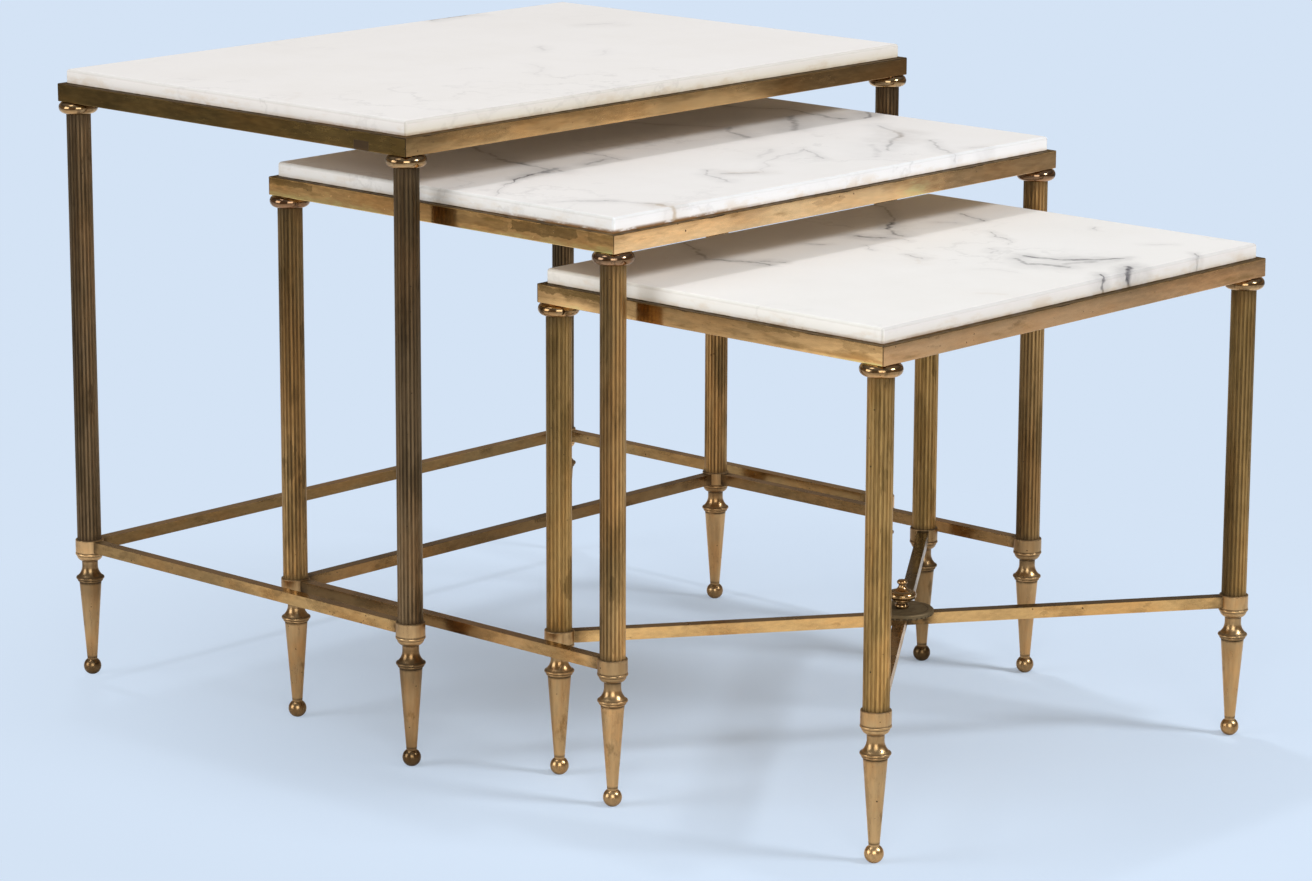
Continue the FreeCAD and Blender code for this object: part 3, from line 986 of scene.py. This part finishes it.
# Place along a rail in mm, and its brightness there: painted light, shade and reflections, partly tarnish.
RAIL_SHADES = {
    "large": {
        "front": [
            (-254, 0.50), (-234, 0.57), (-195, 0.90), (-156, 0.94), (-110, 0.90), (-39, 1.16), (0, 0.92),
            (39, 0.98), (85, 1.06), (117, 0.68), (156, 0.67), (195, 0.62), (254, 0.62),
        ],
        "left": [
            (5, 1.05), (50, 1.0), (75, 1.25), (105, 0.95), (220, 0.82), (255, 0.95), (300, 0.72), (351, 0.80),
        ],
    },
    "middle": {
        "front": [
            (-227, 0.98), (-135, 0.98), (-105, 0.80), (-70, 1.0), (0, 0.88), (40, 1.0), (75, 1.35), (95, 1.1),
            (120, 0.82), (227, 0.84),
        ],
        "left": [
            (-153, 1.75), (-120, 1.35), (-60, 1.42), (-20, 1.48), (10, 1.35), (40, 1.30), (80, 1.48),
            (110, 1.55), (166, 1.45),
        ],
    },
    "small": {
        "front": [
            (-200, 0.90), (-170, 0.82), (-120, 0.76), (0, 0.88), (60, 0.80), (100, 1.0), (154, 1.18),
            (200, 1.10),
        ],
        "left": [
            (-351, 1.5), (-318, 1.38), (-290, 1.14), (-260, 0.86), (-228, 0.74), (-183, 0.72), (-138, 0.95),
            (-116, 0.88), (-93, 1.36), (-60, 0.88),
        ],
    },
}
# Painted light and shade: brightness at the lower and at the upper edge of a rail.
RAIL_HEIGHT_SHADES = {
    "large": {"front": (1.06, 0.88), "left": (1.04, 0.97)},
    "middle": {"front": (1.0, 0.94), "left": (1.20, 0.92)},
    "small": {"front": (1.04, 0.84), "left": (1.24, 0.92)},
}
# Dull patches of the left rails: start and end along Y, low and high below the lip, in mm, and strength.
PATCHES = {
    "large": [(2, 20, 1.0, 14.0, 0.7)],
    "middle": [
        (-122, -62, 0.8, 7.4, 0.66), (-160, -130, 0.8, 6.5, 0.40), (-60, -8, 2.5, 8.5, 0.35),
        (124, 172, 0.4, 4.6, 0.60),
    ],
    "small": [(-345, -318, 1.0, 5.0, 0.25), (-285, -240, 0.5, 3.6, 0.4), (-126, -62, 0.3, 4.8, 0.62)],
}
# Painted light and shade on the columns, for each leg in the order of CORNERS:
# left and right side low down, then left and right side high up.
COLUMN_SHADES = {
    "large": (
        (1.41, 1.50, 0.85, 0.90), (1.02, 0.72, 1.02, 0.80),
        (0.92, 1.38, 0.72, 1.46), (0.66, 1.15, 0.66, 1.15),
    ),
    "middle": (
        (0.77, 1.70, 0.67, 1.20), (0.57, 0.92, 0.80, 1.40),
        (1.33, 1.13, 0.57, 0.72), (1.30, 1.20, 1.30, 1.20),
    ),
    "small": (
        (0.87, 1.19, 0.95, 0.70), (0.33, 0.81, 0.58, 0.56),
        (0.80, 1.15, 0.45, 0.80), (0.74, 0.96, 0.74, 0.96),
    ),
}
# The camera's right-hand direction: from the left to the right side of a column as the camera sees it.
SIDEWAYS = (0.676, -0.737, 0.0)
FLUTE_DIRT = {"large": 0.8, "middle": 0.75, "small": 0.5}
# Painted light and shade on the turned pieces and on their balls, by leg in the order of CORNERS.
TURNED_SHADES = {
    "large": (0.76, 1.0, 0.97, 1.0),
    "middle": (1.0, 0.85, 0.97, 0.95),
    "small": (0.84, 0.84, 0.88, 0.50),
}
BALL_SHADES = {
    "large": (0.24, 0.5, 0.30, 0.5),
    "middle": (0.64, 0.45, 0.44, 0.5),
    "small": (0.76, 0.62, 0.62, 0.13),
}
# Height above the floor in mm, and the painted light and shade of the turned pieces there.
TURNED_STOPS = {
    "large": [
        (11, 0.82), (28, 1.06), (48, 0.94), (64, 0.62), (74, 0.36), (80, 0.50), (84, 0.95), (87, 1.30),
        (97, 1.04),
    ],
    "middle": [
        (11, 0.92), (50, 0.86), (66, 0.92), (74, 0.58), (79, 0.55), (82, 0.50), (90, 0.66), (97, 0.62),
    ],
    "small": [(11, 0.96), (48, 0.92), (62, 0.83), (74, 0.64), (80, 0.66), (84, 0.96), (97, 0.86)],
}
# Place along a stretcher in mm and its painted light and shade there, then that of its upper face.
BAR_SHADES = {
    "large": {
        "left": ([(15, 1.2), (160, 1.15), (210, 0.72), (290, 0.80), (330, 1.05)], 0.78),
        "back": ([(-240, 0.72), (240, 0.48)], 0.86),
        "right": ([(15, 0.95), (340, 0.90)], 0.80),
    },
    "middle": {
        "left": ([(-134, 1.0), (-50, 0.9), (-20, 0.42), (60, 0.33), (150, 0.28)], 0.55),
        "back": ([(-217, 0.36), (-175, 0.72), (-95, 0.66), (-60, 0.38), (217, 0.36)], 0.33),
        "right": ([(-134, 0.90), (150, 0.50)], 0.58),
    },
}
# Painted light and shade on the sides and upper faces of the crossed bars, by leg in the order of CORNERS.
CROSS_SHADES = ((0.86, 1.0, 1.22, 0.11), (0.80, 0.20, 0.46, 0.10))

WHITES = {
    "large": colour(0.822, 0.815, 0.812),
    "middle": colour(0.80, 0.796, 0.796),
    "small": colour(0.80, 0.803, 0.80),
}
# Painted light and shade on the sawn front side: its tint at its upper and at its lower edge.
FRONT_SIDE_PAINTED_LIGHT = {
    "large": (colour(0.842, 0.836, 0.819), colour(0.831, 0.80, 0.712)),
    "middle": (colour(0.985, 1.02, 1.07), colour(1.10, 1.12, 1.16)),
    "small": (colour(0.847, 0.847, 0.867), colour(0.869, 0.852, 0.832)),
}
# Painted light and shade on the left side: its tint.
LEFT_SIDE_PAINTED_LIGHT = {
    "large": colour(1.0, 1.01, 1.02),
    "middle": colour(1.04, 1.07, 1.09),
    "small": colour(1.11, 1.12, 1.11),
}
# How strong the rust on the marble is, and the place that it spreads from.
RUST_SPOTS = {
    "large": (0.35, NEAR_LEG["large"]),
    "middle": (0.95, (-0.20, -0.153)),
    "small": (0.35, NEAR_LEG["small"]),
}
# Veins seen from above: start and end in mm, width in mm, and strength.
GREY_VEINS = {
    "large": (
        ((60, 185), (42, 170), 5, 0.22), ((105, 342), (145, 344), 9, 0.6),
        ((165, 242), (180, 232), 9, 0.25), ((-40, 92), (-8, 128), 7, 0.12),
        ((62, 128), (80, 140), 6, 0.15),
    ),
    "middle": (
        ((-216, -36), (-182, -10), 3.5, 0.4), ((-182, -10), (-158, 0), 4, 0.75),
        ((-158, 0), (-136, 3), 5, 1.0), ((-136, 3), (-112, 8), 8, 0.7),
        ((-120, 0), (-112, 60), 11, 0.6), ((-84, 2), (-58, 6), 7, 0.5),
        ((-58, 0), (-50, 40), 6, 0.45), ((-206, -84), (-192, -92), 5, 0.3),
        ((-192, -92), (-178, -112), 6, 0.5), ((-178, -112), (-166, -142), 5, 0.4),
        ((-45, -72), (-60, -84), 5, 0.45), ((-60, -84), (-72, -108), 7, 0.45),
        ((-50, -88), (-34, -104), 9, 0.35), ((-28, -104), (8, -76), 4, 0.2),
        ((8, -76), (62, -62), 6, 0.25), ((62, -62), (44, -92), 5, 0.4),
        ((10, -62), (46, -46), 12, 0.18), ((176, -30), (160, -62), 8, 0.35),
        ((160, -62), (130, -86), 13, 0.5), ((130, -86), (100, -108), 8, 0.45),
        ((110, -86), (72, -118), 14, 0.22), ((152, -98), (118, -146), 5, 0.4),
        ((146, -138), (158, -142), 5, 0.35), ((72, -2), (96, 40), 9, 0.5),
        ((118, 0), (168, 40), 11, 0.55), ((184, 5), (190, 60), 10, 0.6),
        ((196, -8), (224, 18), 8, 0.6), ((190, 60), (150, 150), 9, 0.45),
        ((-112, 60), (-60, 165), 8, 0.4), ((96, 40), (60, 120), 5, 0.35),
    ),
    "small": (
        ((-98, -118), (-90, -142), 5, 0.8), ((-90, -142), (-88, -164), 5, 0.7),
        ((-84, -148), (-74, -160), 5, 0.6), ((-14, -128), (-8, -138), 5, 0.45),
        ((28, -132), (38, -152), 9, 0.85), ((38, -152), (42, -172), 5, 0.4),
        ((92, -120), (68, -134), 8, 0.9), ((68, -134), (52, -158), 7, 0.7),
        ((108, -146), (114, -152), 5, 0.45), ((148, -132), (134, -162), 5, 0.6),
        ((8, -164), (0, -176), 4, 0.4), ((4, -206), (2, -220), 4, 0.5),
        ((106, -194), (90, -216), 5, 0.45), ((90, -216), (76, -230), 3, 0.25),
        ((44, -240), (56, -232), 4, 0.35), ((166, -232), (158, -240), 4, 0.3),
        ((52, -262), (60, -286), 7, 0.85), ((60, -286), (74, -304), 10, 0.85),
        ((74, -304), (88, -316), 7, 0.8), ((42, -264), (30, -282), 7, 0.6),
        ((30, -282), (42, -306), 10, 0.6), ((46, -300), (70, -306), 16, 0.4),
        ((70, -334), (50, -352), 9, 1.0), ((34, -338), (18, -352), 6, 0.9),
        ((134, -338), (120, -350), 4, 0.6), ((142, -298), (150, -306), 6, 0.25),
        ((-4, -268), (2, -292), 5, 0.15), ((-98, -118), (-60, -62), 6, 0.5),
        ((92, -120), (140, -64), 6, 0.5),
    ),
}
TAN_VEINS = {
    "large": (
        ((-250, 120), (-215, 150), 14, 0.1),
    ),
    "middle": (
        ((-170, -138), (-162, -151), 9, 0.75), ((-44, -90), (-30, -102), 10, 0.3),
        ((165, -55), (138, -84), 12, 0.25),
    ),
    "small": (
        ((0, -216), (-16, -228), 8, 0.2), ((-70, -318), (-60, -330), 14, 0.15),
    ),
}


# ---- Finish of each piece ----

def rail_finish(table, side, seed):
    grain = {"front": (14, 60, 60), "left": (60, 14, 60)}[side]
    dullness, roughness = RAIL_FINISH[table][side]
    stains_and_shadow = [(lip_wax_and_shadow(table), WAX_AND_SHADOW, 1.0)]
    if side == "left":
        stains_and_shadow += [(olive_patch(table, *patch), OLIVE, 0.1) for patch in PATCHES[table]]
        stains_and_shadow.append((mitre_line(table), SOOT, 0.6))
        if table == "large":
            stains_and_shadow.append((old_mark, OLD_MARK, 0.5))
    return brass(
        f"{table}_{side}_rail_brass", RAIL_TONES[table][side], dullness, roughness, stretch=grain,
        grime=[lip_soot(table, grain)], stained=stains_and_shadow, rubbed=rubbed_and_shaded_rail(table),
        shaded=rail_shade(table, side), blotched=0.55 if side == "left" else 0.2, seed=seed,
    )


def column_finish(table, seed):
    return brass(
        table + "_column_brass", COLUMN_TONES[table], dullness=0.45, roughness=0.30, stretch=(60, 60, 14),
        grime=[flute_grime_and_cap_shade(table)], shaded=column_shade(table), pitted=0.03, seed=seed,
    )


def turned_finish(table, seed):
    return brass(
        table + "_turned_brass", TURNED_TONES[table], dullness=0.15, roughness=0.27, stretch=(80, 80, 45),
        grain=(330, 330, 40), grime=[turned_grime], shaded=turned_shade(table), pitted=0.075,
        blotched=0.15, unevenness=0.015, seed=seed,
    )


def cap_finish(table, seed):
    # The ring cap is lighter low down and darker higher up: painted reflection.
    cap_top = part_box(table + "_ring_caps")[1][Z] / MM
    return brass(
        table + "_cap_brass", CAP_TONES[table], dullness=0.3, roughness=0.10, stretch=(120, 120, 120),
        shaded=graded(Z, [(cap_top - 7.0, 1.45), (cap_top - 4.2, 0.62)]), pitted=0.02, unevenness=0.01,
        seed=seed,
    )


def bar_finish(table, side, shade, grime, seed):
    return brass(
        f"{table}_{side}_bar_brass", BAR_TONES[table], dullness=0.45, roughness=0.18, stretch=(24, 24, 60),
        grime=grime, shaded=shade, blotched=0.3, seed=seed,
    )


def finial_finish():
    return brass(
        "finial_brass", FINIAL_TONES, dullness=0.4, roughness=0.12, stretch=(150, 150, 150),
        grime=[finial_grime], pitted=0.04, unevenness=0.01, seed=5.0,
    )


def disc_finish(centre):
    return brass(
        "disc_brass", DISC_TONES, dullness=0.5, roughness=0.36, stretch=(110, 110, 110),
        grime=[disc_grime(centre)], stained=[(lambda graph: 0.7, DISC_DUST, 0.6)], pitted=0.06, seed=6.0,
    )


def table_finishes(table, seed):
    """The material of every piece of a table, by the piece's name without that of its table."""
    front = rail_finish(table, "front", seed)
    left = rail_finish(table, "left", seed)
    columns = column_finish(table, seed + 11)
    turned = turned_finish(table, seed + 17)
    finishes = {
        "marble_top": marble(table),
        "front_rail": front,
        "back_rail": front,
        "left_rail": left,
        "right_rail": left,
        "corner_plates": columns,
        "tie_rods": ROD_STEEL,
        "ring_caps": cap_finish(table, seed + 29),
        "collars": turned,
    }
    for corner in CORNERS:
        finishes["column_" + corner] = columns
        finishes["foot_" + corner] = turned
    for side in BAR_SHADES.get(table, ()):
        shade = bar_shade(table, side)
        finishes[side + "_stretcher"] = bar_finish(table, side, shade, [joint_grime(table)], seed + 23)
    if table == "small":
        centre = LEG_AXES[table][0]
        grime = [joint_grime(table), crossing_grime(centre)]
        finishes["cross_bars"] = bar_finish(table, "cross", cross_shade(table), grime, seed + 23)
        finishes["crossing_disc"] = disc_finish(centre)
        finishes["finial"] = finial_finish()
    return finishes


def finish_table(table, seed):
    """Gives every piece of a table its material, and puts softened copies in place of sawn pieces."""
    finishes = table_finishes(table, seed)
    names = [name for name in NODES if name.startswith(table)]
    for name in names:
        materials = NODES[name].data.materials
        materials.clear()
        materials.append(finishes[name.removeprefix(table + "_")])
    for name in names:
        if name.endswith(("_rail", "_stretcher", "_cross_bars")):
            piece = softened(name, RAIL_EDGE if name.endswith("_rail") else BAR_EDGE)
            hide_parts(name)
            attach(piece, body_of(name))


set_camera()
set_world()
add_floor()
for lamp_name, lamp in LAMPS.items():
    add_lamp(lamp_name, *lamp)
ROD_STEEL = steel("rod_steel")
for number, table_name in enumerate(TABLES):
    finish_table(table_name, seed=40.0 * number)

SCENE.view_settings.view_transform = "Standard"
